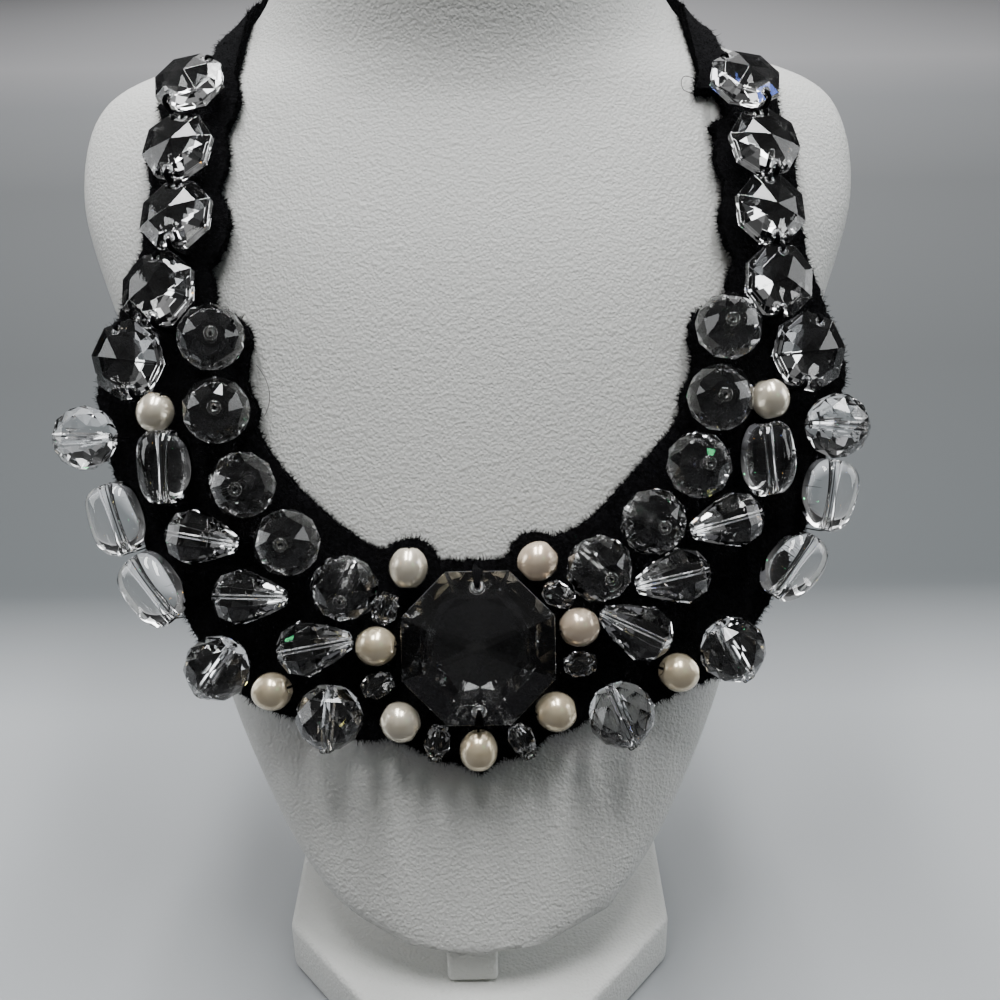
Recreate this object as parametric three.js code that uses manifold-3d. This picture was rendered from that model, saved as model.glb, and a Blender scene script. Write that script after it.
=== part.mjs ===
// Bib necklace: crystal beads and pearls sewn on black velvet, worn by a plain white neck bust.
// Millimetres, +Z up. The origin is the middle of the plinth's underside and the front faces -Y.

import * as THREE from 'three';
import { mergeVertices } from 'three/addons/utils/BufferGeometryUtils.js';
import Module from 'manifold-3d';

const wasm = await Module();
wasm.setup();

const degree = Math.PI / 180;

// ---------- driving dimensions ----------

const chestLean = 25 * degree; // the chest leans back from the vertical
const chestPoint = { y: -20, z: 106.5 }; // a point on the chest's middle line
const stoneHeight = 79.5; // the bib's own "up" starts at this height, close to the centre stone
const meshGap = 0.4; // between pieces that touch
const velvetThick = 2;
const velvetLift = 0.8; // least space between the bust and the velvet
const bibRadius = 235; // the stiff bib bends this gently from side to side
const shoulderStart = 143; // above this height the straps bend back over the shoulders
const shoulderBend = 0.012;
const plinth = { width: 84, length: 140, thick: 12.5, cornerAcross: 25, cornerBack: 31 };
const post = { width: 10.5, middle: -1.2 };
const bustSides = 44;
const threadRadius = 0.5;

// The post's top edge from the side, from the front to the back.
const postTop = [
  { y: -57, z: 21 },
  { y: -40, z: 38 },
  { y: -12, z: 56 },
  { y: 20, z: 62 },
];

// Sections of the bust: half its width, its front and its back at each height.
const bustSections = [
  { height: 22.0, half: 6, front: -58.6, back: -50 },
  { height: 23.2, half: 18, front: -58.7, back: -45 },
  { height: 27, half: 29.5, front: -57, back: -34 },
  { height: 32, half: 35.5, front: -54.7, back: -25 },
  { height: 40, half: 42, front: -51, back: -14 },
  { height: 50, half: 48, front: -46.3, back: -3 },
  { height: 62, half: 54, front: -40.7, back: 8 },
  { height: 78, half: 59.5, front: -33.3, back: 20 },
  { height: 95, half: 65, front: -25.4, back: 30 },
  { height: 112, half: 71.5, front: -17.4, back: 39 },
  { height: 130, half: 76.5, front: -8.6, back: 48 },
  { height: 145, half: 82.8, front: -0.5, back: 57 },
  { height: 158, half: 87.2, front: 8, back: 65 },
  { height: 168, half: 87, front: 15.5, back: 70 },
  { height: 175, half: 84.5, front: 21, back: 74 },
  { height: 179, half: 80, front: 24, back: 76 },
  { height: 182, half: 73, front: 26, back: 78 },
  { height: 186.5, half: 57, front: 28, back: 81 },
  { height: 191, half: 50, front: 29.5, back: 84 },
  { height: 198, half: 44.5, front: 30.5, back: 87 },
  { height: 207, half: 42, front: 31, back: 89 },
  { height: 218, half: 41, front: 31, back: 90 },
  { height: 230, half: 41, front: 31, back: 90 },
  { height: 232.5, half: 39, front: 33, back: 88 },
];

// The velvet, section by section from the left strap to the right one: the inner edge and the outer
// edge, each as millimetres across from the middle and up the chest from stoneHeight.
const velvetSections = [
  { inX: -49.6, inUp: 114.6, outX: -55, outUp: 116.6 },
  { inX: -50.8, inUp: 110.5, outX: -62, outUp: 112 },
  { inX: -52.5, inUp: 104, outX: -65, outUp: 102.5 },
  { inX: -52, inUp: 92.5, outX: -66, outUp: 90.5 },
  { inX: -53, inUp: 79, outX: -68, outUp: 78 },
  { inX: -52, inUp: 69, outX: -73, outUp: 64.5 },
  { inX: -45.5, inUp: 59, outX: -78, outUp: 50 },
  { inX: -45, inUp: 47.5, outX: -76, outUp: 37 },
  { inX: -38.5, inUp: 37, outX: -70.5, outUp: 23 },
  { inX: -29.5, inUp: 28, outX: -61, outUp: 7 },
  { inX: -20, inUp: 21.5, outX: -52, outUp: -5 },
  { inX: -12, inUp: 20, outX: -36, outUp: -11 },
  { inX: -5, inUp: 18.5, outX: -17, outUp: -15 },
  { inX: 1, inUp: 18.5, outX: 1.5, outUp: -19.5 },
  { inX: 8, inUp: 19, outX: 19, outUp: -15 },
  { inX: 15, inUp: 22, outX: 38, outUp: -9.5 },
  { inX: 24, inUp: 26, outX: 54, outUp: -3 },
  { inX: 33, inUp: 35, outX: 64, outUp: 9.5 },
  { inX: 40, inUp: 42, outX: 71.5, outUp: 25 },
  { inX: 45, inUp: 50, outX: 76, outUp: 40 },
  { inX: 46.5, inUp: 61, outX: 79, outUp: 52 },
  { inX: 53.5, inUp: 69.5, outX: 74.5, outUp: 64.5 },
  { inX: 56, inUp: 79, outX: 70, outUp: 78 },
  { inX: 55.5, inUp: 91.5, outX: 69, outUp: 90.5 },
  { inX: 55.5, inUp: 102.5, outX: 67.5, outUp: 101.5 },
  { inX: 53.6, inUp: 109.5, outX: 63, outUp: 111 },
  { inX: 51.2, inUp: 113.6, outX: 57.2, outUp: 114.9 },
];
const stepsPerSection = 4;
const acrossSteps = 5;
const edgeMargin = 1.7; // the velvet is cut this far outside a stone
const longestScallop = 4.5;
const bendSoftness = 2; // how gently the stiff bib meets the bust

// The straps behind the neck: the lower and upper edge at each turn round the neck. Turn 0 is at
// the wearer's side, and 90 would be the middle of the back.
const neckSections = [
  { turn: -17, low: 186.6, high: 191.4 },
  { turn: 5, low: 189, high: 195 },
  { turn: 24, low: 190, high: 197.5 },
  { turn: 44, low: 191, high: 201 },
  { turn: 64, low: 192, high: 204 },
  { turn: 84, low: 193, high: 205.5 },
];
const neckStepsPerSection = 2;

const clasp = { width: 18, height: 8, thick: 1.8, level: 199, corner: 2.5 }; // behind the neck

// ---------- beads: sizes ----------

const stoneBore = 0.7;
const stoneTable = { out: 0.66, along: 0.3 }; // as parts of a stone's corner radius and thickness
const strapStone = { flats: 14.4, thick: 7.2, rim: 1.5, holeFromMiddle: 0.8 };
const centreStone = { flats: 30, thick: 13.4, rim: 2.2, holeFromMiddle: 0.8 };
const ballRadius = 6.7;
const pearlRadius = 4;
const dropRadius = 5.8;
const nuggetHalf = 4.8; // half a nugget's thickness, which is less than its width
const smallRadius = 2.6;

// Profiles of drilled beads, from one end of the bore to the other: along the bore and out from it.
const ballProfile = [
  { along: 6.1, out: 0.9 },
  { along: 5.9, out: 2.9 },
  { along: 3.9, out: 5.4 },
  { along: 1.0, out: 6.7 },
  { along: -1.0, out: 6.7 },
  { along: -3.9, out: 5.4 },
  { along: -5.9, out: 2.9 },
  { along: -6.1, out: 0.9 },
];
const dropProfile = [
  { along: 7.7, out: 0.6 },
  { along: 7.4, out: 1.7 },
  { along: 3.2, out: 3.9 },
  { along: -2.4, out: 5.8 },
  { along: -5.4, out: 4.7 },
  { along: -7.2, out: 2.3 },
  { along: -7.4, out: 0.6 },
];
const nuggetProfile = [
  { along: 7.2, out: 0.6 },
  { along: 7.0, out: 2.4 },
  { along: 5.5, out: 4.7 },
  { along: 2.6, out: 5.8 },
  { along: -0.6, out: 6.0 },
  { along: -3.8, out: 5.4 },
  { along: -6.2, out: 3.7 },
  { along: -7.2, out: 1.9 },
  { along: -7.4, out: 0.6 },
];
const pearlProfile = [
  { along: 3.9, out: 0.5 },
  { along: 3.5, out: 1.9 },
  { along: 2.1, out: 3.4 },
  { along: 0.1, out: 4.0 },
  { along: -2.0, out: 3.45 },
  { along: -3.5, out: 1.9 },
  { along: -3.9, out: 0.5 },
];
const smallProfile = [
  { along: 3.3, out: 0.5 },
  { along: 3.1, out: 1.6 },
  { along: 1.3, out: 2.6 },
  { along: -1.3, out: 2.6 },
  { along: -3.1, out: 1.6 },
  { along: -3.3, out: 0.5 },
];

// ---------- beads: places ----------
// x is across and up is up the chest from stoneHeight. Turn is the direction of the bore along the
// velvet, from 0, across to the right, to 90, up the chest. Nod tips a stone's face that way, in degrees.

const strapStones = [
  { name: 'strap_stone_left_1', x: -57, up: 110, turn: 66, nod: 6 },
  { name: 'strap_stone_left_2', x: -58.5, up: 98, turn: 86 },
  { name: 'strap_stone_left_3', x: -58, up: 85, turn: 96, nod: 8, scale: 1.03 },
  { name: 'strap_stone_left_4', x: -61.3, up: 71, turn: 102, nod: 12, scale: 1.08 },
  { name: 'strap_stone_left_5', x: -68, up: 56.3, turn: 112, scale: 1.08 },
  { name: 'strap_stone_right_1', x: 57.8, up: 109, turn: 114, nod: 8 },
  { name: 'strap_stone_right_2', x: 60.8, up: 97, turn: 96 },
  { name: 'strap_stone_right_3', x: 61, up: 84.3, turn: 86 },
  { name: 'strap_stone_right_4', x: 62, up: 71, turn: 80 },
  { name: 'strap_stone_right_5', x: 68, up: 55.8, turn: 66, scale: 1.07 },
];
const innerBallsLeft = [
  { x: -49.5, up: 62 },
  { x: -48.5, up: 47.5 },
  { x: -43.5, up: 33 },
  { x: -35, up: 22 },
  { x: -24, up: 13.5 },
];
const innerBallsRight = [
  { x: 50.5, up: 62.5 },
  { x: 48.5, up: 48.5 },
  { x: 44, up: 35.5 },
  { x: 35, up: 25 },
  { x: 24.5, up: 16.5 },
];
const outerBalls = [
  { name: 'outer_ball_left_1', x: -76.5, up: 39, turn: 187 },
  { name: 'outer_ball_left_2', x: -49, up: -4.5, turn: 238 },
  { name: 'outer_ball_left_3', x: -27, up: -12, turn: 268 },
  { name: 'outer_ball_right_1', x: 72.8, up: 39.5, turn: -10 },
  { name: 'outer_ball_right_2', x: 50, up: -2.5, turn: -65 },
  { name: 'outer_ball_right_3', x: 28, up: -12.5, turn: -70 },
];
const dropsLeft = [
  { x: -52, up: 21.5, turn: -3 },
  { x: -42.5, up: 10.5, turn: 4 },
  { x: -30, up: 1.5, turn: 14 },
];
const dropsRight = [
  { x: 49.5, up: 23.5, turn: 187 },
  { x: 38.7, up: 13.5, turn: 186 },
  { x: 31.3, up: 4, turn: 150 },
];
const nuggets = [
  { name: 'nugget_left_1', x: -60, up: 35, turn: 98 },
  { name: 'nugget_left_2', x: -71, up: 23, turn: 116 },
  { name: 'nugget_left_3', x: -63.5, up: 9.5, turn: 134 },
  { name: 'nugget_right_1', x: 58.5, up: 35.3, turn: 88 },
  { name: 'nugget_right_2', x: 72, up: 25.5, turn: 72 },
  { name: 'nugget_right_3', x: 64, up: 12, turn: 44 },
];
const pearls = [
  { name: 'pearl_left_1', x: -62.3, up: 46, turn: 75 },
  { name: 'pearl_left_2', x: -39, up: -8.5, turn: 20 },
  { name: 'pearl_left_3', x: -18.5, up: 2, turn: 0 },
  { name: 'pearl_left_4', x: -14, up: -13, turn: -30 },
  { name: 'pearl_left_5', x: -12, up: 17.5, turn: 90 },
  { name: 'pearl_bottom', x: 1, up: -18.5, turn: -90 },
  { name: 'pearl_right_1', x: 59.5, up: 47.3, turn: -85 },
  { name: 'pearl_right_2', x: 40, up: -6, turn: 160 },
  { name: 'pearl_right_3', x: 20.8, up: 5, turn: 190 },
  { name: 'pearl_right_4', x: 16, up: -11.5, turn: 185 },
  { name: 'pearl_right_5', x: 13, up: 18.5, turn: 220 },
];
const smallBeads = [
  { name: 'small_bead_left_1', x: -16.8, up: 9.3, turn: 70 },
  { name: 'small_bead_left_2', x: -18.5, up: -6, turn: 25 },
  { name: 'small_bead_right_1', x: 17, up: 11.5, turn: -30 },
  { name: 'small_bead_right_2', x: 21, up: -2.5, turn: 0 },
  { name: 'small_bead_bottom_left', x: -7, up: -17, turn: 80 },
  { name: 'small_bead_bottom_right', x: 9.5, up: -17, turn: -65 },
];

// ---------- finishes ----------

const velvetFinish = new THREE.MeshStandardMaterial({ color: 0x0b0b0d, roughness: 1 });
const crystalFinish = new THREE.MeshStandardMaterial({ color: 0xdfe3e6, roughness: 0.03 });
const pearlFinish = new THREE.MeshStandardMaterial({ color: 0xe9dfd0, roughness: 0.25 });
const leatherFinish = new THREE.MeshStandardMaterial({ color: 0xdcdcdc, roughness: 0.55 });
const claspFinish = new THREE.MeshStandardMaterial({ color: 0xb9b9b6, roughness: 0.3, metalness: 1 });

// ---------- smooth columns ----------

// The columns of a table at a place between rows i and i + 1, on a smooth curve through the rows.
function blendRows(rows, key, i, part) {
  const row = {};
  const spots = [Math.max(i - 1, 0), i, i + 1, Math.min(i + 2, rows.length - 1)];
  const [before, start, end, after] = spots.map((spot) => rows[spot]);
  const length = key ? end[key] - start[key] : 1;
  const spanBefore = key ? end[key] - before[key] : i > 0 ? 2 : 1;
  const spanAfter = key ? after[key] - start[key] : i + 2 < rows.length ? 2 : 1;
  for (const column of Object.keys(start)) {
    const slopeStart = ((end[column] - before[column]) / spanBefore) * length;
    const slopeEnd = ((after[column] - start[column]) / spanAfter) * length;
    const square = part * part;
    const cube = square * part;
    row[column] =
      (2 * cube - 3 * square + 1) * start[column] +
      (cube - 2 * square + part) * slopeStart +
      (3 * square - 2 * cube) * end[column] +
      (cube - square) * slopeEnd;
  }
  return row;
}

// A table's columns where its key column has this value.
function rowWhere(rows, key, value) {
  const held = THREE.MathUtils.clamp(value, rows[0][key], rows.at(-1)[key]);
  let i = 0;
  while (i < rows.length - 2 && rows[i + 1][key] < held) i += 1;
  const part = (held - rows[i][key]) / (rows[i + 1][key] - rows[i][key]);
  return blendRows(rows, key, i, part);
}

// A table filled in with more rows between its own.
function fillRows(rows, steps) {
  const filled = [];
  for (let i = 0; i < rows.length - 1; i += 1) {
    for (let step = 0; step < steps; step += 1) filled.push(blendRows(rows, null, i, step / steps));
  }
  filled.push(rows.at(-1));
  return filled;
}

// ---------- closed bodies from rings of points ----------

// Joins rings with the same number of points. The ends are capped, or the last ring meets the first.
function loft(rings, ends = 'fan') {
  const count = rings[0].length;
  const points = rings.flat();
  const faces = [];
  const last = ends === 'loop' ? rings.length : rings.length - 1;
  for (let r = 0; r < last; r += 1) {
    const near = r * count;
    const far = ((r + 1) % rings.length) * count;
    for (let i = 0; i < count; i += 1) {
      const j = (i + 1) % count;
      faces.push([near + i, near + j, far + j], [near + i, far + j, far + i]);
    }
  }
  if (ends === 'fan') {
    capWithFan(points, faces, rings[0], 0, true);
    capWithFan(points, faces, rings.at(-1), (rings.length - 1) * count, false);
  }
  if (ends === 'strip') {
    capWithStrip(faces, count, 0, true);
    capWithStrip(faces, count, (rings.length - 1) * count, false);
  }
  return closedBody(points, faces);
}

function capWithFan(points, faces, ring, first, reversed) {
  const middle = new THREE.Vector3();
  ring.forEach((point) => middle.addScaledVector(point, 1 / ring.length));
  points.push(middle);
  const hub = points.length - 1;
  for (let i = 0; i < ring.length; i += 1) {
    const j = (i + 1) % ring.length;
    faces.push(reversed ? [hub, first + j, first + i] : [hub, first + i, first + j]);
  }
}

// Closes the end of a flat strip, whose ring runs along its front and back along its rear.
function capWithStrip(faces, count, first, reversed) {
  for (let i = 0; i < count / 2 - 1; i += 1) {
    const a = first + i;
    const b = first + i + 1;
    const c = first + count - 2 - i;
    const d = first + count - 1 - i;
    const pair = reversed ? [[a, c, b], [a, d, c]] : [[a, b, c], [a, c, d]];
    faces.push(...pair);
  }
}

// A geometry whose faces point outwards.
function closedBody(points, faces) {
  const across = new THREE.Vector3();
  const volume = faces.reduce(
    (sum, [a, b, c]) => sum + across.crossVectors(points[b], points[c]).dot(points[a]),
    0,
  );
  const outward = volume > 0 ? faces : faces.map(([a, b, c]) => [a, c, b]);
  const geometry = new THREE.BufferGeometry().setFromPoints(points);
  geometry.setIndex(outward.flat());
  return geometry;
}

function solidOf(geometry) {
  const bare = geometry.clone();
  bare.deleteAttribute('normal');
  bare.deleteAttribute('uv');
  const merged = mergeVertices(bare, 1e-4);
  const mesh = new wasm.Mesh({
    numProp: 3,
    vertProperties: new Float32Array(merged.attributes.position.array),
    triVerts: new Uint32Array(merged.index.array),
  });
  return new wasm.Manifold(mesh);
}

function geometryOf(solid) {
  const mesh = solid.getMesh();
  const geometry = new THREE.BufferGeometry();
  geometry.setAttribute('position', new THREE.BufferAttribute(mesh.vertProperties, 3));
  geometry.setIndex(new THREE.BufferAttribute(mesh.triVerts, 1));
  return geometry;
}

// ---------- the bust's surface ----------

function bustAt(height) {
  const { half, front, back } = rowWhere(bustSections, 'height', height);
  const power = height < 170 ? 2.4 : Math.max(2.1, 2.4 - (height - 170) * 0.012);
  return { half, middle: (front + back) / 2, depth: (back - front) / 2, power };
}

// A point of the bust's outline at this height, turned from its left side towards its back.
function bustPoint(turn, height) {
  const { half, middle, depth, power } = bustAt(height);
  const rounded = (value) => Math.sign(value) * Math.abs(value) ** (2 / power);
  return new THREE.Vector3(
    -half * rounded(Math.cos(turn)),
    middle + depth * rounded(Math.sin(turn)),
    height,
  );
}

function bustFront(x, height) {
  const { half, middle, depth, power } = bustAt(height);
  const inside = 1 - Math.abs(x / half) ** power;
  return inside > 0 ? middle - depth * inside ** (1 / power) : Infinity;
}

// ---------- the bib's surface ----------

// The velvet's back: a stiff sheet bent round the chest, which follows the bust over the shoulders.
function bibBack(x, height) {
  const lean = chestPoint.y + (height - chestPoint.z) * Math.tan(chestLean);
  const over = Math.max(height - shoulderStart, 0);
  const stiff = lean - velvetLift + (x * x) / (2 * bibRadius) + shoulderBend * over * over;
  const onBust = bustFront(x, height) - velvetLift;
  const least = Math.min(stiff, onBust);
  const sum = Math.exp((least - stiff) / bendSoftness) + Math.exp((least - onBust) / bendSoftness);
  return least - bendSoftness * Math.log(sum);
}

function heightOf(up) {
  return stoneHeight + up * Math.cos(chestLean);
}

function bibPoint(x, up) {
  const height = heightOf(up);
  return new THREE.Vector3(x, bibBack(x, height), height);
}

// The directions across, up and out of the velvet at a place on the bib.
function bibFrame(x, up) {
  const step = 0.5;
  const across = bibPoint(x + step, up).sub(bibPoint(x - step, up)).normalize();
  const upward = bibPoint(x, up + step).sub(bibPoint(x, up - step)).normalize();
  const out = new THREE.Vector3().crossVectors(across, upward).normalize();
  upward.crossVectors(out, across).normalize();
  return { foot: bibPoint(x, up), across, upward, out };
}

// ---------- velvet ----------

// Round these middles the velvet is cut in scallops.
function cutCircles() {
  const circles = [];
  const addAll = (places, radius) => {
    places.forEach(({ x, up, scale = 1 }) => circles.push({ x, up, radius: radius * scale }));
  };
  addAll(strapStones, strapStone.flats / 2 + edgeMargin);
  addAll([...innerBallsLeft, ...innerBallsRight], ballRadius - 1);
  addAll(outerBalls.filter(({ up }) => up < 0), ballRadius);
  addAll(pearls, pearlRadius + edgeMargin - 0.2);
  addAll(smallBeads, smallRadius + edgeMargin);
  return circles;
}

// How far the edge lies from the strip's other edge once it clears the stones that it passes.
function edgeReach(from, to, circles) {
  const way = new THREE.Vector2(to.x - from.x, to.up - from.up);
  const width = way.length();
  way.normalize();
  let reach = width;
  for (const circle of circles) {
    const off = new THREE.Vector2(circle.x - from.x, circle.up - from.up);
    const beside = Math.abs(off.x * way.y - off.y * way.x);
    if (beside < circle.radius) {
      const far = off.dot(way) + Math.sqrt(circle.radius ** 2 - beside ** 2);
      if (far < width + longestScallop) reach = Math.max(reach, far);
    }
  }
  return reach / width;
}

function bibRows() {
  const circles = cutCircles();
  return fillRows(velvetSections, stepsPerSection).map((section) => {
    const inner = { x: section.inX, up: section.inUp };
    const outer = { x: section.outX, up: section.outUp };
    const outReach = edgeReach(inner, outer, circles);
    const inReach = edgeReach(outer, inner, circles);
    const row = [];
    for (let i = 0; i <= acrossSteps; i += 1) {
      const part = THREE.MathUtils.lerp(1 - inReach, outReach, i / acrossSteps);
      const x = THREE.MathUtils.lerp(inner.x, outer.x, part);
      const up = THREE.MathUtils.lerp(inner.up, outer.up, part);
      row.push(bibPoint(x, up));
    }
    return row;
  });
}

// A row of velvet round the side or back of the neck, from its upper edge to its lower one.
function neckRow({ turn, low, high }, side) {
  const row = [];
  for (let i = 0; i <= acrossSteps; i += 1) {
    const height = THREE.MathUtils.lerp(high, low, i / acrossSteps);
    const angle = turn * degree;
    const point = bustPoint(angle, height);
    const round = bustPoint(angle + 0.02, height).sub(bustPoint(angle - 0.02, height));
    const rise = bustPoint(angle, height + 0.3).sub(bustPoint(angle, height - 0.3));
    point.addScaledVector(rise.cross(round).normalize(), velvetLift + 0.2);
    point.x *= -side;
    row.push(point);
  }
  return row;
}

// The row's direction out of the velvet, from the rows on both sides of it.
function outOfRow(rows, r, i) {
  const along = rows[Math.min(r + 1, rows.length - 1)][i].clone().sub(rows[Math.max(r - 1, 0)][i]);
  const row = rows[r];
  const across = row[Math.min(i + 1, row.length - 1)].clone().sub(row[Math.max(i - 1, 0)]);
  return across.cross(along).normalize();
}

function velvetGeometry() {
  const neck = fillRows(neckSections, neckStepsPerSection);
  const left = neck.map((section) => neckRow(section, -1));
  const right = neck.map((section) => neckRow(section, 1));
  const rows = [...left.reverse(), ...bibRows(), ...right];
  const rings = rows.map((row, r) => {
    const front = row.map((point, i) => {
      return point.clone().addScaledVector(outOfRow(rows, r, i), velvetThick);
    });
    return [...front, ...[...row].reverse()];
  });
  return loft(rings, 'strip');
}

// ---------- bead shapes ----------

function ringOf(sides, out, along, turned) {
  const ring = [];
  for (let i = 0; i < sides; i += 1) {
    const angle = ((i + (turned ? 0.5 : 0)) / sides) * 2 * Math.PI;
    ring.push(new THREE.Vector3(out * Math.cos(angle), out * Math.sin(angle), along));
  }
  return ring;
}

// A bead drilled along Z. In a faceted one every other row of corners is turned by half a facet.
function drilledBead(profile, sides, faceted) {
  const rings = profile.map(({ along, out }, i) => {
    const nearBore = i === 0 || i === profile.length - 1;
    return ringOf(sides, out, along, faceted && !nearBore && i % 2 === 0);
  });
  return loft(rings, 'loop');
}

// An eight-sided stone with a point on both faces, drilled through near two opposite rim sides.
function octagonStone({ flats, thick, rim, holeFromMiddle }) {
  const corner = flats / 2 / Math.cos(Math.PI / 8);
  const table = { out: corner * stoneTable.out, along: thick * stoneTable.along };
  const rows = [
    { out: 0.02 * corner, along: thick / 2 },
    { out: table.out, along: table.along },
    { out: corner, along: rim / 2 },
    { out: corner, along: -rim / 2 },
    { out: table.out, along: -table.along },
    { out: 0.02 * corner, along: -thick / 2 },
  ];
  let stone = solidOf(loft(rows.map(({ out, along }) => ringOf(8, out, along, true))));
  for (const side of [-1, 1]) {
    const bore = new THREE.CylinderGeometry(stoneBore, stoneBore, thick * 2, 8);
    bore.rotateX(Math.PI / 2);
    bore.translate(0, side * holeFromMiddle * (flats / 2), 0);
    stone = stone.subtract(solidOf(bore));
  }
  return geometryOf(stone);
}

// ---------- placing beads ----------

// The matrix of a bead whose middle stands this far off the velvet's face. A standing bead has its
// local Z out of the velvet and its local Y along its turn, and a lying bead has its bore along it.
function beadMatrix({ x, up, turn = 90, nod = 0, scale = 1 }, clear, standing) {
  const { foot, across, upward, out } = bibFrame(x, up);
  const angle = turn * degree;
  const along = across.clone().multiplyScalar(Math.cos(angle)).addScaledVector(upward, Math.sin(angle));
  const middle = foot.addScaledVector(out, velvetThick + meshGap + clear * scale);
  const hinge = along.clone().cross(out);
  out.applyAxisAngle(hinge, -nod * degree);
  along.applyAxisAngle(hinge, -nod * degree);
  const matrix = new THREE.Matrix4();
  if (standing) matrix.makeBasis(along.clone().cross(out), along, out);
  else matrix.makeBasis(out.clone().cross(along), out, along);
  matrix.scale(new THREE.Vector3(scale, scale, scale));
  return matrix.setPosition(middle);
}

function placedBead(name, geometry, material, place, clear, standing) {
  const mesh = new THREE.Mesh(geometry, material.clone());
  mesh.name = name;
  beadMatrix(place, clear, standing).decompose(mesh.position, mesh.quaternion, mesh.scale);
  return mesh;
}

// Beads of one row as a single body, joined by the stretches of thread between neighbours.
function threadedBeads(name, geometry, places, { clear, radius, standing }) {
  const matrices = places.map((place) => beadMatrix(place, clear, standing));
  let body = null;
  const join = (piece) => {
    body = body ? body.add(solidOf(piece)) : solidOf(piece);
  };
  matrices.forEach((matrix) => join(geometry.clone().applyMatrix4(matrix)));
  for (let i = 0; i < matrices.length - 1; i += 1) {
    const start = new THREE.Vector3().setFromMatrixPosition(matrices[i]);
    const end = new THREE.Vector3().setFromMatrixPosition(matrices[i + 1]);
    const way = end.clone().sub(start);
    const length = way.length() - 2 * radius * 0.8;
    const thread = new THREE.CylinderGeometry(threadRadius, threadRadius, length, 6);
    const turn = new THREE.Quaternion().setFromUnitVectors(new THREE.Vector3(0, 1, 0), way.normalize());
    thread.applyQuaternion(turn);
    thread.translate(...start.lerp(end, 0.5).toArray());
    join(thread);
  }
  const mesh = new THREE.Mesh(geometryOf(body), crystalFinish.clone());
  mesh.name = name;
  return mesh;
}

// ---------- bust, post and plinth ----------

// The post from the side, as y and z: a plain bar whose sloping top sits in the bust.
function postOutline(spread) {
  const front = postTop[0].y - spread;
  const back = postTop.at(-1).y + spread;
  const shape = new THREE.Shape();
  shape.moveTo(front, plinth.thick + meshGap);
  shape.lineTo(front, postTop[0].z + spread);
  postTop.slice(1, -1).forEach(({ y, z }) => shape.lineTo(y - spread / 2, z + spread));
  shape.lineTo(back, postTop.at(-1).z + spread);
  shape.lineTo(back, plinth.thick + meshGap);
  return shape;
}

function postGeometry(spread) {
  const width = post.width + 2 * spread;
  const bar = new THREE.ExtrudeGeometry(postOutline(spread), { depth: width, bevelEnabled: false });
  bar.applyMatrix4(new THREE.Matrix4().makeBasis(
    new THREE.Vector3(0, 1, 0),
    new THREE.Vector3(0, 0, 1),
    new THREE.Vector3(1, 0, 0),
  ));
  return bar.translate(post.middle - width / 2, 0, 0);
}

function bustGeometry() {
  const heights = [];
  bustSections.forEach(({ height }, i) => {
    const next = bustSections[i + 1];
    heights.push(height);
    if (next && next.height - height > 11) heights.push((height + next.height) / 2);
  });
  const rings = heights.map((height) => {
    const ring = [];
    for (let i = 0; i < bustSides; i += 1) ring.push(bustPoint((i / bustSides) * 2 * Math.PI, height));
    return ring;
  });
  return geometryOf(solidOf(loft(rings)).subtract(solidOf(postGeometry(meshGap))));
}

function plinthGeometry() {
  const { width, length, thick, cornerAcross, cornerBack } = plinth;
  const corners = [
    [width / 2 - cornerAcross, -length / 2],
    [width / 2, -length / 2 + cornerBack],
    [width / 2, length / 2 - cornerBack],
    [width / 2 - cornerAcross, length / 2],
  ];
  const outline = [...corners, ...corners.map(([x, y]) => [-x, -y])];
  const shape = new THREE.Shape(outline.map(([x, y]) => new THREE.Vector2(x, y)));
  return new THREE.ExtrudeGeometry(shape, { depth: thick, bevelEnabled: false });
}

function claspGeometry() {
  const { width, height, thick, corner } = clasp;
  const shape = new THREE.Shape();
  const x = width / 2 - corner;
  const z = height / 2 - corner;
  shape.absarc(x, z, corner, 0, Math.PI / 2);
  shape.absarc(-x, z, corner, Math.PI / 2, Math.PI);
  shape.absarc(-x, -z, corner, Math.PI, 1.5 * Math.PI);
  shape.absarc(x, -z, corner, 1.5 * Math.PI, 2 * Math.PI);
  const plate = new THREE.ExtrudeGeometry(shape, { depth: thick, bevelEnabled: false, curveSegments: 4 });
  plate.rotateX(Math.PI / 2);
  const back = bustPoint(Math.PI / 2, clasp.level).y;
  return plate.translate(0, back + velvetLift + velvetThick + 3 * meshGap + thick, clasp.level);
}

// ---------- the whole ----------

function namedMesh(name, geometry, material) {
  const mesh = new THREE.Mesh(geometry, material);
  mesh.name = name;
  return mesh;
}

const necklace = new THREE.Group();
necklace.add(namedMesh('velvet_backing', velvetGeometry(), velvetFinish));
necklace.add(namedMesh('neck_clasp', claspGeometry(), claspFinish));

const strapStoneShape = octagonStone(strapStone);
for (const place of strapStones) {
  const clear = strapStone.thick / 2;
  necklace.add(placedBead(place.name, strapStoneShape, crystalFinish, place, clear, true));
}
const middlePlace = { x: 1.3, up: 2, turn: 90 };
const middleStone = octagonStone(centreStone);
necklace.add(placedBead('centre_stone', middleStone, crystalFinish, middlePlace, centreStone.thick / 2, true));

const ball = drilledBead(ballProfile, 10, true);
const standingBalls = { clear: ballProfile[0].along, radius: ballRadius, standing: true };
necklace.add(threadedBeads('inner_balls_left', ball, innerBallsLeft, standingBalls));
necklace.add(threadedBeads('inner_balls_right', ball, innerBallsRight, standingBalls));
for (const place of outerBalls) {
  necklace.add(placedBead(place.name, ball, crystalFinish, place, ballRadius, false));
}

const drop = drilledBead(dropProfile, 9, false);
const lyingDrops = { clear: dropRadius, radius: dropRadius, standing: false };
necklace.add(threadedBeads('drops_left', drop, dropsLeft, lyingDrops));
necklace.add(threadedBeads('drops_right', drop, dropsRight, lyingDrops));

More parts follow.
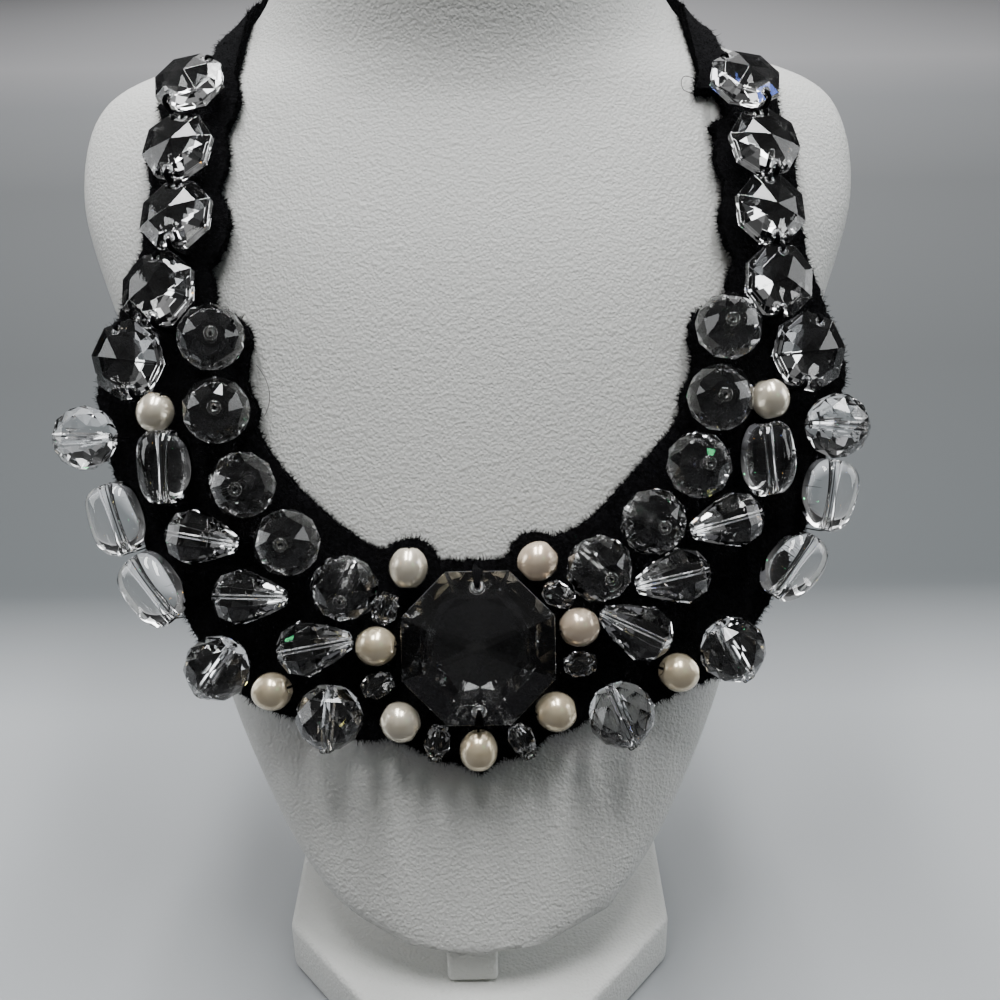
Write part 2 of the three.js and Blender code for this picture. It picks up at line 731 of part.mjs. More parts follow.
const nugget = drilledBead(nuggetProfile, 10, false);
nugget.scale(1, nuggetHalf / nuggetProfile[4].out, 1);
for (const place of nuggets) {
  necklace.add(placedBead(place.name, nugget, crystalFinish, place, nuggetHalf, false));
}

const pearl = drilledBead(pearlProfile, 10, false);
for (const place of pearls) {
  necklace.add(placedBead(place.name, pearl, pearlFinish, place, pearlRadius, false));
}

const smallBead = drilledBead(smallProfile, 6, true);
for (const place of smallBeads) {
  necklace.add(placedBead(place.name, smallBead, crystalFinish, place, smallRadius, false));
}

const stand = new THREE.Group();
stand.add(namedMesh('neck_bust', bustGeometry(), leatherFinish));
stand.add(namedMesh('support_post', postGeometry(0), leatherFinish.clone()));
stand.add(namedMesh('plinth', plinthGeometry(), leatherFinish.clone()));

const displayedNecklace = new THREE.Group();
displayedNecklace.add(necklace, stand);

export default displayedNecklace;
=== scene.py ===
import math
import random

import bmesh
import bpy
from mathutils import Matrix, Vector, noise
from mathutils.bvhtree import BVHTree


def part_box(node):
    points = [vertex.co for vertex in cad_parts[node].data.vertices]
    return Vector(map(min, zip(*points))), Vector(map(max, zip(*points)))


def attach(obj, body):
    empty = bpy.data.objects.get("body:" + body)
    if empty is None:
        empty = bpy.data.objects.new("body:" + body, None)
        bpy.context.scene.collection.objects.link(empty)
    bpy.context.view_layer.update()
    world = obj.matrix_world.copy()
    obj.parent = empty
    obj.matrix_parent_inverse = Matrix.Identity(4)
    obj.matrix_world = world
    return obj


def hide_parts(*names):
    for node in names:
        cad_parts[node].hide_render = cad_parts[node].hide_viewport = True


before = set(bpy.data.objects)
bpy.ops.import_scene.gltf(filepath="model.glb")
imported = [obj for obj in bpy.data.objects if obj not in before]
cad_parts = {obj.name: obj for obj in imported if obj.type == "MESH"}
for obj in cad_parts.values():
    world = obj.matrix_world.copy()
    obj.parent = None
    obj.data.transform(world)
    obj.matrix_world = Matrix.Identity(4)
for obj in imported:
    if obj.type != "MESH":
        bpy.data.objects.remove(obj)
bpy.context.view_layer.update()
mm = 0.001
print("frame loaded")

# the camera looks down at the chest
camera = {"lens": 45, "sensor": 36, "place": (6, -251.1, 214.3), "pitch": 25, "roll": 0.9}


def addCamera():
    data = bpy.data.cameras.new("camera")
    data.lens = camera["lens"]
    data.sensor_width = camera["sensor"]
    data.clip_start = 0.01
    holder = bpy.data.objects.new("camera", data)
    bpy.context.collection.objects.link(holder)
    pitch = math.radians(camera["pitch"])
    turned = Matrix.Rotation(math.pi / 2 - pitch, 4, "X") @ Matrix.Rotation(-math.radians(camera["roll"]), 4, "Z")
    holder.matrix_world = Matrix.Translation(Vector(camera["place"]) * mm) @ turned
    bpy.context.scene.camera = holder


addCamera()


# node helpers

def newMaterial(name):
    material = bpy.data.materials.new(name)
    material.use_nodes = True
    return material, material.node_tree.links, material.node_tree.nodes["Principled BSDF"]


def addNode(material, kind, **values):
    node = material.node_tree.nodes.new(kind)
    for key, value in values.items():
        if key in node.inputs:
            node.inputs[key].default_value = value
        else:
            setattr(node, key, value)
    return node


def objectPlaces(material, stretch=(1, 1, 1)):
    places = addNode(material, "ShaderNodeTexCoord")
    mapping = addNode(material, "ShaderNodeMapping", Scale=stretch)
    material.node_tree.links.new(places.outputs["Object"], mapping.inputs["Vector"])
    return mapping.outputs["Vector"]


def noiseOf(material, vector, scale, detail=3.0, roughness=0.5):
    texture = addNode(material, "ShaderNodeTexNoise", Scale=scale, Detail=detail, Roughness=roughness)
    material.node_tree.links.new(vector, texture.inputs["Vector"])
    return texture.outputs["Fac"]


def rampOf(material, source, stops):
    ramp = material.node_tree.nodes.new("ShaderNodeValToRGB")
    elements = ramp.color_ramp.elements
    while len(elements) < len(stops):
        elements.new(0.5)
    for element, (place, colour) in zip(elements, stops):
        element.position = place
        element.color = (*colour, 1) if len(colour) == 3 else colour
    material.node_tree.links.new(source, ramp.inputs["Fac"])
    return ramp.outputs["Color"]


def rangeOf(material, source, low, high, toLow, toHigh):
    spread = material.node_tree.nodes.new("ShaderNodeMapRange")
    for key, value in (("From Min", low), ("From Max", high), ("To Min", toLow), ("To Max", toHigh)):
        spread.inputs[key].default_value = value
    material.node_tree.links.new(source, spread.inputs["Value"])
    return spread.outputs["Result"]


def bumpOf(material, height, strength, distance, before=None):
    bump = addNode(material, "ShaderNodeBump", Strength=strength, Distance=distance)
    material.node_tree.links.new(height, bump.inputs["Height"])
    if before:
        material.node_tree.links.new(before, bump.inputs["Normal"])
    return bump.outputs["Normal"]


# leatherette of the bust, post and plinth

leatherette = {
    "light": (0.66, 0.665, 0.645),
    "shade": (0.60, 0.605, 0.59),
    "pebble": 1500,  # pebbles in a metre
    "depth": 0.0003,
}


def makeLeatherette():
    material, links, shader = newMaterial("whiteLeatherette")
    places = objectPlaces(material)
    wide = noiseOf(material, places, 9, 2)
    tone = rampOf(material, wide, [(0.35, leatherette["shade"]), (0.65, leatherette["light"])])
    links.new(tone, shader.inputs["Base Color"])
    pebbles = addNode(
        material, "ShaderNodeTexVoronoi", feature="SMOOTH_F1", Scale=leatherette["pebble"], Smoothness=0.6,
    )
    bent = noiseOf(material, places, 900, 2)
    shift = addNode(material, "ShaderNodeVectorMath", operation="MULTIPLY_ADD")
    links.new(bent, shift.inputs[0])
    shift.inputs[1].default_value = (0.0006, 0.0006, 0.0006)
    links.new(places, shift.inputs[2])
    links.new(shift.outputs["Vector"], pebbles.inputs["Vector"])
    grain = bumpOf(material, pebbles.outputs["Distance"], 0.55, leatherette["depth"])
    soft = bumpOf(material, noiseOf(material, places, 800, 4), 0.4, 0.0004, grain)
    links.new(soft, shader.inputs["Normal"])
    links.new(rangeOf(material, wide, 0.3, 0.7, 0.5, 0.62), shader.inputs["Roughness"])
    shader.inputs["Specular IOR Level"].default_value = 0.4
    return material


# crystal

def makeCrystal(name, roughness, scratch, tint=(0.985, 0.99, 0.992, 1)):
    material, links, shader = newMaterial(name)
    places = objectPlaces(material)
    shader.inputs["Base Color"].default_value = tint
    shader.inputs["Transmission Weight"].default_value = 1
    shader.inputs["IOR"].default_value = 1.53
    smear = noiseOf(material, places, 300, 3)
    links.new(rangeOf(material, smear, 0.4, 0.75, roughness, roughness * 3 + 0.012), shader.inputs["Roughness"])
    if scratch:
        lines = noiseOf(material, objectPlaces(material, (2600, 420, 900)), 1.0, 2, 0.6)
        links.new(bumpOf(material, lines, scratch, 0.00003), shader.inputs["Normal"])
    return material


# velvet

velvetLook = {"pile": (0.0015, 0.0015, 0.0017), "tip": (0.007, 0.007, 0.008)}


def makeVelvet():
    material, links, shader = newMaterial("blackVelvet")
    places = objectPlaces(material)
    pile = noiseOf(material, places, 1400, 3, 0.7)
    tone = rampOf(material, pile, [(0.38, velvetLook["pile"]), (0.7, velvetLook["tip"])])
    links.new(tone, shader.inputs["Base Color"])
    crush = bumpOf(material, noiseOf(material, places, 140, 3), 0.5, 0.0009)
    links.new(bumpOf(material, pile, 0.8, 0.0004, crush), shader.inputs["Normal"])
    shader.inputs["Roughness"].default_value = 1
    shader.inputs["Specular IOR Level"].default_value = 0.05
    shader.inputs["Sheen Weight"].default_value = 0.035
    shader.inputs["Sheen Roughness"].default_value = 0.35
    shader.inputs["Sheen Tint"].default_value = (0.5, 0.52, 0.58, 1)
    return material


def makePearl(name, light, deep):
    material, links, shader = newMaterial(name)
    places = objectPlaces(material)
    cloud = noiseOf(material, places, 420, 2)
    links.new(rampOf(material, cloud, [(0.3, deep), (0.7, light)]), shader.inputs["Base Color"])
    links.new(bumpOf(material, noiseOf(material, places, 900, 2), 0.08, 0.0001), shader.inputs["Normal"])
    shader.inputs["Roughness"].default_value = 0.24
    shader.inputs["Metallic"].default_value = 0.6
    shader.inputs["Coat Weight"].default_value = 0.8
    shader.inputs["Coat Roughness"].default_value = 0.08
    shader.inputs["Coat Tint"].default_value = (1, 0.98, 0.96, 1)
    return material


def makePlain(name, colour, roughness, metallic=0.0, grain=0.0, scale=800, shine=0.5):
    material, links, shader = newMaterial(name)
    places = objectPlaces(material)
    spots = noiseOf(material, places, scale, 2)
    dark = tuple(value * 0.8 for value in colour)
    links.new(rampOf(material, spots, [(0.3, dark), (0.7, colour)]), shader.inputs["Base Color"])
    shader.inputs["Roughness"].default_value = roughness
    shader.inputs["Metallic"].default_value = metallic
    shader.inputs["Specular IOR Level"].default_value = shine
    if grain:
        links.new(bumpOf(material, spots, grain, 0.0001), shader.inputs["Normal"])
    return material


whiteLeatherette = makeLeatherette()
clearCrystal = makeCrystal("clearCrystal", 0.0, 0.0)
cutCrystal = makeCrystal("cutCrystal", 0.0, 0.05)
cloudyBore = makeCrystal("cloudyBore", 0.1, 0.0, (0.9, 0.91, 0.92, 1))
blackVelvet = makeVelvet()
pearls = {
    "cream": makePearl("creamPearl", (0.88, 0.78, 0.58), (0.82, 0.70, 0.49)),
    "ivory": makePearl("ivoryPearl", (0.90, 0.84, 0.70), (0.84, 0.77, 0.62)),
    "champagne": makePearl("champagnePearl", (0.88, 0.74, 0.58), (0.81, 0.66, 0.50)),
}
blackThread = makePlain("blackThread", (0.003, 0.003, 0.0035), 0.9, grain=0.4, scale=3000, shine=0.05)
seedGlass = makeCrystal("seedGlass", 0.03, 0.0, (0.82, 0.82, 0.8, 1))
satinSteel = makePlain("satinSteel", (0.55, 0.55, 0.54), 0.3, metallic=1.0, grain=0.1)
print("materials made")


# shapes

def centreLine(point):
    return Vector((0, -0.0066 + (point.z - 0.08) * 0.54, point.z))


def looseCopy(nodeName):
    shape = bmesh.new()
    shape.from_mesh(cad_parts[nodeName].data)
    bmesh.ops.remove_doubles(shape, verts=shape.verts, dist=1e-6)
    return shape


def quadCopy(nodeName):
    shape = looseCopy(nodeName)
    bmesh.ops.join_triangles(
        shape, faces=shape.faces, angle_face_threshold=math.radians(50), angle_shape_threshold=math.radians(70)
    )
    return shape


def addPiece(name, shape, materials, replaces=(), smooth=None):
    bmesh.ops.recalc_face_normals(shape, faces=shape.faces)
    mesh = bpy.data.meshes.new(name)
    shape.to_mesh(mesh)
    shape.free()
    kept = mesh.attributes.get("custom_normal")
    if kept:
        mesh.attributes.remove(kept)
    for material in materials:
        mesh.materials.append(material)
    if smooth is not None:
        mesh.shade_smooth()
        mesh.set_sharp_from_angle(angle=math.radians(smooth))
    else:
        mesh.shade_flat()
    piece = bpy.data.objects.new(name, mesh)
    bpy.context.collection.objects.link(piece)
    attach(piece, "root")
    if replaces:
        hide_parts(*replaces)
    return piece


def addSubdivision(piece, levels):
    rounding = piece.modifiers.new("rounding", "SUBSURF")
    rounding.levels = levels
    rounding.render_levels = levels


def sharpEdges(shape, angle, shortest=0.0):
    limit = math.radians(angle)
    return [
        edge
        for edge in shape.edges
        if len(edge.link_faces) == 2 and edge.calc_face_angle(0) > limit and edge.calc_length() > shortest
    ]


# bust, post and plinth

stand = {"bustLevels": 2, "postEdge": 1.0 * mm, "plinthEdge": 1.6 * mm}


def addBust():
    shape = quadCopy("neck_bust")
    crease = shape.edges.layers.float.get("crease_edge") or shape.edges.layers.float.new("crease_edge")
    for edge in sharpEdges(shape, 42):
        edge[crease] = 1
    for face in shape.faces:
        face.material_index = 0
    piece = addPiece("leatherBust", shape, [whiteLeatherette], ("neck_bust",), 60)
    addSubdivision(piece, stand["bustLevels"])
    return piece


def addBevelled(name, nodeName, width, material, segments=3):
    shape = looseCopy(nodeName)
    bmesh.ops.dissolve_limit(shape, angle_limit=math.radians(1), verts=shape.verts, edges=shape.edges)
    bmesh.ops.bevel(
        shape, geom=sharpEdges(shape, 20), offset=width, offset_type="OFFSET", segments=segments, profile=0.5,
        affect="EDGES", material=-1, clamp_overlap=True,
    )
    return addPiece(name, shape, [material], (nodeName,), 40)


bust = addBust()
addBevelled("leatherPost", "support_post", stand["postEdge"], whiteLeatherette)
addBevelled("leatherPlinth", "plinth", stand["plinthEdge"], whiteLeatherette, 4)
addBevelled("steelClasp", "neck_clasp", 0.35 * mm, satinSteel, 2)
print("bust and stand made")


# velvet with a ragged pile

velvet = {
    "cuts": 3,
    "waver": 0.6 * mm,  # how far the cut edge wanders
    "crush": 0.16 * mm,
    "flat": (0.158, 0.25),
    "area": 0.01266,
    "fringe": {"perSquare": 9, "short": 0.5, "long": 1.7, "thick": 0.09, "spread": 0.8},
    "nap": {"perSquare": 1.1, "short": 0.35, "long": 0.8, "thick": 0.07, "spread": 0.9},
}


def velvetShape():
    shape = quadCopy("velvet_backing")
    for face in shape.faces:
        middle = face.calc_center_median()
        out = (middle - centreLine(middle)).normalized()
        sharp = sum(1 for edge in face.edges if len(edge.link_faces) == 2 and edge.calc_face_angle(0) > 0.8)
        lean = face.normal.dot(out)
        face.material_index = 1 if sharp >= 2 else 0 if lean > 0 else 2
    bmesh.ops.subdivide_edges(shape, edges=shape.edges, cuts=velvet["cuts"], use_grid_fill=True)
    shape.normal_update()
    for vert in shape.verts:
        rim = sum(1 for face in vert.link_faces if face.material_index == 1)
        coarse = noise.noise(vert.co * 420) * velvet["crush"]
        if rim:
            coarse += (noise.noise(vert.co * 900) + 0.6 * noise.noise(vert.co * 2100)) * velvet["waver"]
        vert.co += vert.normal * coarse
    shape.normal_update()
    return shape


def fibresOn(shape, marks, settings, seed):
    chance = random.Random(seed)
    whole = bmesh.new()
    batch = bmesh.new()
    count = 0
    for face in shape.faces:
        if face.material_index not in marks or len(face.verts) < 3:
            continue
        amount = face.calc_area() * 1e6 * settings["perSquare"]
        number = int(amount) + (chance.random() < amount - int(amount))
        corners = [vert.co for vert in face.verts]
        for _ in range(number):
            a, b = chance.random(), chance.random()
            if len(corners) > 3:
                root = corners[0].lerp(corners[1], a).lerp(corners[3].lerp(corners[2], a), b)
            else:
                root = corners[0].lerp(corners[1], a).lerp(corners[2], b)
            way = face.normal + settings["spread"] * Vector([chance.uniform(-1, 1) for _ in range(3)])
            way.normalize()
            length = chance.uniform(settings["short"], settings["long"]) * mm
            turn = way.to_track_quat("Z", "Y").to_matrix().to_4x4()
            place = Matrix.Translation(root + way * (length / 2 - 0.1 * mm)) @ turn
            bmesh.ops.create_cone(
                batch, segments=3, radius1=settings["thick"] * mm, radius2=0.012 * mm, depth=length,
                cap_ends=True, cap_tris=False, matrix=place,
            )
            count += 1
            if count % 250 == 0:
                moveInto(whole, batch)
                batch = bmesh.new()
    moveInto(whole, batch)
    return whole


def moveInto(whole, part):
    carrier = bpy.data.meshes.new("carrier")
    part.to_mesh(carrier)
    part.free()
    whole.from_mesh(carrier)
    bpy.data.meshes.remove(carrier)


def addVelvet():
    shape = velvetShape()
    fringe = fibresOn(shape, (1,), velvet["fringe"], 3)
    nap = fibresOn(shape, (0,), velvet["nap"], 5)
    tree = BVHTree.FromBMesh(shape)
    for face in shape.faces:
        face.material_index = 0
    sheet = addPiece("velvetBacking", shape, [blackVelvet], ("velvet_backing",), 80)
    fringePiece = addPiece("velvetFringe", fringe, [blackVelvet])
    napPiece = addPiece("velvetNap", nap, [blackVelvet])
    return tree


velvetTree = addVelvet()
print("velvet made")


# bores of the CAD beads

def boresOf(nodeName, length):
    shape = looseCopy(nodeName)
    bores = []
    for edge in shape.edges:
        if abs(edge.calc_length() - length * mm) > 0.12 * mm:
            continue
        start, end = (vert.co.copy() for vert in edge.verts)
        middle = (start + end) / 2
        for bore in bores:
            if (bore["middle"] - middle).length < 2 * mm:
                if (start - end).dot(bore["way"]) < 0:
                    start, end = end, start
                bore["starts"].append(start)
                bore["ends"].append(end)
                break
        else:
            bores.append({"middle": middle, "way": start - end, "starts": [start], "ends": [end]})
    shape.free()
    return [(meanOf(bore["starts"]), meanOf(bore["ends"])) for bore in bores]


def meanOf(points):
    total = Vector((0, 0, 0))
    for point in points:
        total += point
    return total / len(points)


# beads turned from a profile

# how far the front of each inner ball's bore is off the line to the viewer, across and up
ballTilt = {
    "left": [(0, 0.8), (-0.4, 0.6), (-1.4, -0.8), (-1.2, -0.4), (-1.0, -2.9)],
    "right": [(0.8, 1.4), (1.0, 0.6), (2.0, 0.4), (2.2, -1.2), (2.4, -2.2)],
}


def tiltedBore(bore, across, up):
    start, end = bore
    middle, half = (start + end) / 2, (start - end).length / 2
    toEye = (Vector(camera["place"]) * mm - middle).normalized()
    right = Vector((1, 0, 0))
    rise = toEye.cross(right)
    way = (toEye * half + right * across * mm + rise * up * mm).normalized()
    return middle + way * half, middle - way * half


turnedBeads = {
    "ball": {"sides": 10, "turned": True, "profile": [
        (6.1, 0.9), (5.9, 2.9), (3.9, 5.4), (1.0, 6.7), (-1.0, 6.7), (-3.9, 5.4), (-5.9, 2.9), (-6.1, 0.9)]},
    "drop": {"sides": 9, "turned": False, "profile": [
        (7.7, 0.6), (7.4, 1.7), (3.2, 3.9), (-2.4, 5.8), (-5.4, 4.7), (-7.2, 2.3), (-7.4, 0.6)]},
}


def turnedBead(kind):
    settings = turnedBeads[kind]
    shape = bmesh.new()
    verts = [shape.verts.new((out * mm, 0, along * mm)) for along, out in settings["profile"]]
    edges = [shape.edges.new(pair) for pair in zip(verts, verts[1:] + verts[:1])]
    bmesh.ops.spin(
        shape, geom=verts + edges, cent=(0, 0, 0), axis=(0, 0, 1), dvec=(0, 0, 0),
        angle=2 * math.pi, steps=settings["sides"], use_merge=True,
    )
    bmesh.ops.remove_doubles(shape, verts=shape.verts, dist=1e-6)
    if settings["turned"]:
        half = Matrix.Rotation(math.pi / settings["sides"], 3, "Z")
        rows = settings["profile"][1:-1]
        for row, (along, out) in enumerate(rows):
            if row % 2:
                ring = [v for v in shape.verts if abs(v.co.z - along * mm) < 1e-5 and v.co.xy.length > 1.2 * mm]
                bmesh.ops.transform(shape, matrix=half.to_4x4(), verts=ring)
        bmesh.ops.triangulate(shape, faces=[f for f in shape.faces if f.calc_center_median().xy.length > 1.2 * mm])
    narrow = settings["profile"][0][1] * 1.05 * mm
    for face in shape.faces:
        face.material_index = 1 if face.calc_center_median().xy.length < narrow else 0
    return shape


def alongBore(start, end, spin=0.0):
    way = (start - end).normalized()
    turn = way.to_track_quat("Z", "Y").to_matrix().to_4x4()
    return Matrix.Translation((start + end) / 2) @ turn @ Matrix.Rotation(spin, 4, "Z")


def addTurned(name, kind, nodeName, bores):
    whole = bmesh.new()
    for i, (start, end) in enumerate(bores):
        bead = turnedBead(kind)
        bmesh.ops.transform(bead, matrix=alongBore(start, end, 0.7 * i + 0.2), verts=bead.verts)
        moveInto(whole, bead)
    return addPiece(name, whole, [clearCrystal, cloudyBore], (nodeName,))


def frontFirst(bore):
    start, end = bore
    return (start, end) if (start - centreLine(start)).length > (end - centreLine(end)).length else (end, start)


def lowFirst(bore, middle):
    start, end = bore
    return (start, end) if (start - middle).length > (end - middle).length else (end, start)


def narrowFirst(bore):  # a drop's narrow end points to the middle
    return tuple(sorted(bore, key=lambda end: abs(end.x)))


def smoothedBead(name, nodeName, material, grow, wobble, seed, square=0.0, bore=None):
    shape = quadCopy(nodeName)
    middle = meanOf([vert.co for vert in shape.verts])
    for vert in shape.verts:
        off = vert.co - middle
        push = 1 + wobble * noise.noise(off * 160 + Vector((seed, seed * 2.3, 0)))
        if bore:
            way = (bore[0] - bore[1]).normalized()
            along = way * off.dot(way)
            part = 2 * along.length / (bore[0] - bore[1]).length
            off = along + (off - along) * (1 + square * part ** 3)
        vert.co = middle + off * grow * push
    piece = addPiece(name, shape, [material], (nodeName,), 180)
    addSubdivision(piece, 2)
    return piece


sides = ("left", "right")
balls, drops, nuggets, pearlBores, smallBores = [], [], [], {}, []
stoneMiddle = meanOf([Vector(corner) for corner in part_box("centre_stone")])
for side in sides:
    title = side.capitalize()
    inner = [frontFirst(bore) for bore in boresOf("inner_balls_" + side, 12.2)]
    inner.sort(key=lambda bore: -bore[0].z)
    inner = [tiltedBore(bore, *tilt) for bore, tilt in zip(inner, ballTilt[side])]
    addTurned("innerBalls" + title, "ball", "inner_balls_" + side, inner)
    balls += [(bore, "inner") for bore in inner]
    hung = boresOf("drops_" + side, 15.1)
    hung = [narrowFirst(bore) for bore in hung]
    addTurned("drops" + title, "drop", "drops_" + side, hung)
    drops += hung
    for n in range(1, 4):
        node = "outer_ball_%s_%d" % (side, n)
        bore = lowFirst(boresOf(node, 12.2)[0], stoneMiddle)
        addTurned("outerBall%s%d" % (title, n), "ball", node, [bore])
        balls.append((bore, "outer"))
        node = "nugget_%s_%d" % (side, n)
        bore = boresOf(node, 14.6)[0]
        nuggets.append(bore)
        smoothedBead(
            "nugget%s%d" % (title, n), node, clearCrystal, 1.05, 0.12, n * 3.1 + len(title), 0.25, bore,
        )
print("balls, drops and nuggets made")

pearlKinds = {
    "pearl_left_1": "ivory", "pearl_left_2": "cream", "pearl_left_3": "cream", "pearl_left_4": "ivory",
    "pearl_left_5": "ivory", "pearl_bottom": "cream", "pearl_right_1": "ivory", "pearl_right_2": "cream",
    "pearl_right_3": "champagne", "pearl_right_4": "cream", "pearl_right_5": "champagne",
}
for n, (node, kind) in enumerate(pearlKinds.items()):
    pearlBores[node] = boresOf(node, 7.8)[0]
    name = "".join(part.capitalize() for part in node.split("_"))
    smoothedBead(name[0].lower() + name[1:], node, pearls[kind], 1.09, 0.07, n * 1.7)
print("pearls made")


# cut stones

def addStone(nodeName):
    shape = looseCopy(nodeName)
    bmesh.ops.dissolve_limit(shape, angle_limit=math.radians(0.5), verts=shape.verts, edges=shape.edges)
    bmesh.ops.bevel(
        shape, geom=sharpEdges(shape, 6, 1.0 * mm), offset=0.1 * mm, offset_type="OFFSET", segments=1,
        profile=0.5, affect="EDGES", material=-1, clamp_overlap=True,
    )
    words = nodeName.split("_")
    name = words[0] + "".join(word.capitalize() for word in words[1:])
    addPiece(name, shape, [cutCrystal], (nodeName,))


def stoneHoles(nodeName):
    shape = looseCopy(nodeName)
    groups = []
    for edge in shape.edges:
        if 0.35 * mm < edge.calc_length() < 0.8 * mm:
            middle = (edge.verts[0].co + edge.verts[1].co) / 2
            for group in groups:
                if (group[0] - middle).length < 1.6 * mm:
                    group.append(middle)
                    break
            else:
                groups.append([middle.copy()])
    shape.free()
    return [meanOf(group) for group in groups if len(group) > 3]


stoneNodes = ["strap_stone_%s_%d" % (side, n) for side in sides for n in range(1, 6)] + ["centre_stone"]
for node in stoneNodes:
    addStone(node)
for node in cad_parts:
    if node.startswith("small_bead"):
        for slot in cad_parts[node].material_slots:
            slot.material = clearCrystal
        smallBores.append((boresOf(node, 6.6)[0], "bottom" in node))
print("stones made", len(smallBores))


# seed beads and threads

seedBead = {"ring": 0.95 * mm, "tube": 0.5 * mm, "around": 16, "across": 8}


def seedShape():
    shape = bmesh.new()
    made = bmesh.ops.create_circle(
        shape, segments=seedBead["across"], radius=seedBead["tube"],
        matrix=Matrix.Translation((seedBead["ring"], 0, 0)) @ Matrix.Rotation(math.pi / 2, 4, "X"),
    )
    edges = list({edge for vert in made["verts"] for edge in vert.link_edges})
    bmesh.ops.spin(
        shape, geom=made["verts"] + edges, cent=(0, 0, 0), axis=(0, 0, 1), dvec=(0, 0, 0),
        angle=2 * math.pi, steps=seedBead["around"], use_merge=True,
    )
    return shape


def addSeeds():
    whole = bmesh.new()
    places = []
    for (start, end), kind in balls:
        away = (start - end).normalized()
        places.append((start + away * (0.15 if kind == "inner" else 0.45) * mm, away))
    for bore, atBottom in smallBores:
        if atBottom:
            start, end = lowFirst(bore, stoneMiddle)
            away = (start - end).normalized()
            places.append((start + away * 0.4 * mm, away))
    for place, away in places:
        bead = seedShape()
        turn = away.to_track_quat("Z", "Y").to_matrix().to_4x4()
        bmesh.ops.transform(bead, matrix=Matrix.Translation(place) @ turn, verts=bead.verts)
        moveInto(whole, bead)
    addPiece("seedBeads", whole, [seedGlass], (), 60)


addSeeds()


def addDrilledRims():  # the ground edge round each hole in the cut stones
    whole = bmesh.new()
    for node in stoneNodes:
        wide = 1.1 if node == "centre_stone" else 0.85
        middle = meanOf([Vector(corner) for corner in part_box(node)])
        for front, back in holePairs(node):
            out = (front - back).normalized()
            ring = seedShape()
            bmesh.ops.scale(ring, vec=(wide, wide, 0.4), verts=ring.verts)
            tilt = (out + (front - middle).normalized() * 0.45).to_track_quat("Z", "Y").to_matrix().to_4x4()
            bmesh.ops.transform(ring, matrix=Matrix.Translation(front - out * 0.1 * mm) @ tilt, verts=ring.verts)
            moveInto(whole, ring)
    addPiece("drilledRims", whole, [cloudyBore], (), 60)


def holePairs(node):  # the front and back of each hole through a stone
    pairs = []
    for hole in stoneHoles(node):
        for pair in pairs:
            if (pair[0] - hole).length < 6.5 * mm:
                pair.append(hole)
                break
        else:
            pairs.append([hole])
    for pair in pairs:
        pair.sort(key=lambda hole: -(hole - centreLine(hole)).length)
    return [(pair[0], pair[-1]) for pair in pairs if len(pair) > 1]


addDrilledRims()


def newThread(name, radius):
    curve = bpy.data.curves.new(name, "CURVE")
    curve.dimensions = "3D"
    curve.bevel_depth = radius
    curve.bevel_resolution = 1
    curve.resolution_u = 4
    curve.use_fill_caps = True
    return curve


def runThread(curve, points):
    spline = curve.splines.new("NURBS")
    spline.points.add(len(points) - 1)
    for point, place in zip(spline.points, points):
        point.co = (*place, 1)
    spline.order_u = 3
    spline.use_endpoint_u = True


def finishThread(curve, material):
    piece = bpy.data.objects.new(curve.name, curve)
    bpy.context.collection.objects.link(piece)
    curve.materials.append(material)
    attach(piece, "root")
    return piece


def velvetUnder(point):
    place, normal, _, _ = velvetTree.find_nearest(point)
    return place, normal


def runAcross(curve, bore):
    start, end = bore
    away = (start - end).normalized()
    points = []
    for tip, way in ((start, away), (end, -away)):
        under, normal = velvetUnder(tip - way * 0.3 * mm)
        arc = [
            under - normal * 0.6 * mm, under.lerp(tip, 0.6) + way * 0.2 * mm,
            tip + way * 0.12 * mm, tip - way * 0.8 * mm,
        ]
        points += arc if not points else arc[::-1]
    runThread(curve, points)


# loose ends that have worked out of the velvet: across, height and the lift off the bust
strays = {
    "strayHair": [(-43.5, 131, 1.2), (-41.6, 129, 1.4), (-40.6, 126, 1.5), (-40.8, 123.5, 1.3), (-42, 121.5, 1)],
    "strayLoop": [(49, 181, 1.6), (46.6, 182, 2), (45.4, 180.4, 2), (46.4, 178.6, 1.8), (49, 178.8, 1.6)],
}
bustTree = BVHTree.FromBMesh(looseCopy("neck_bust"))


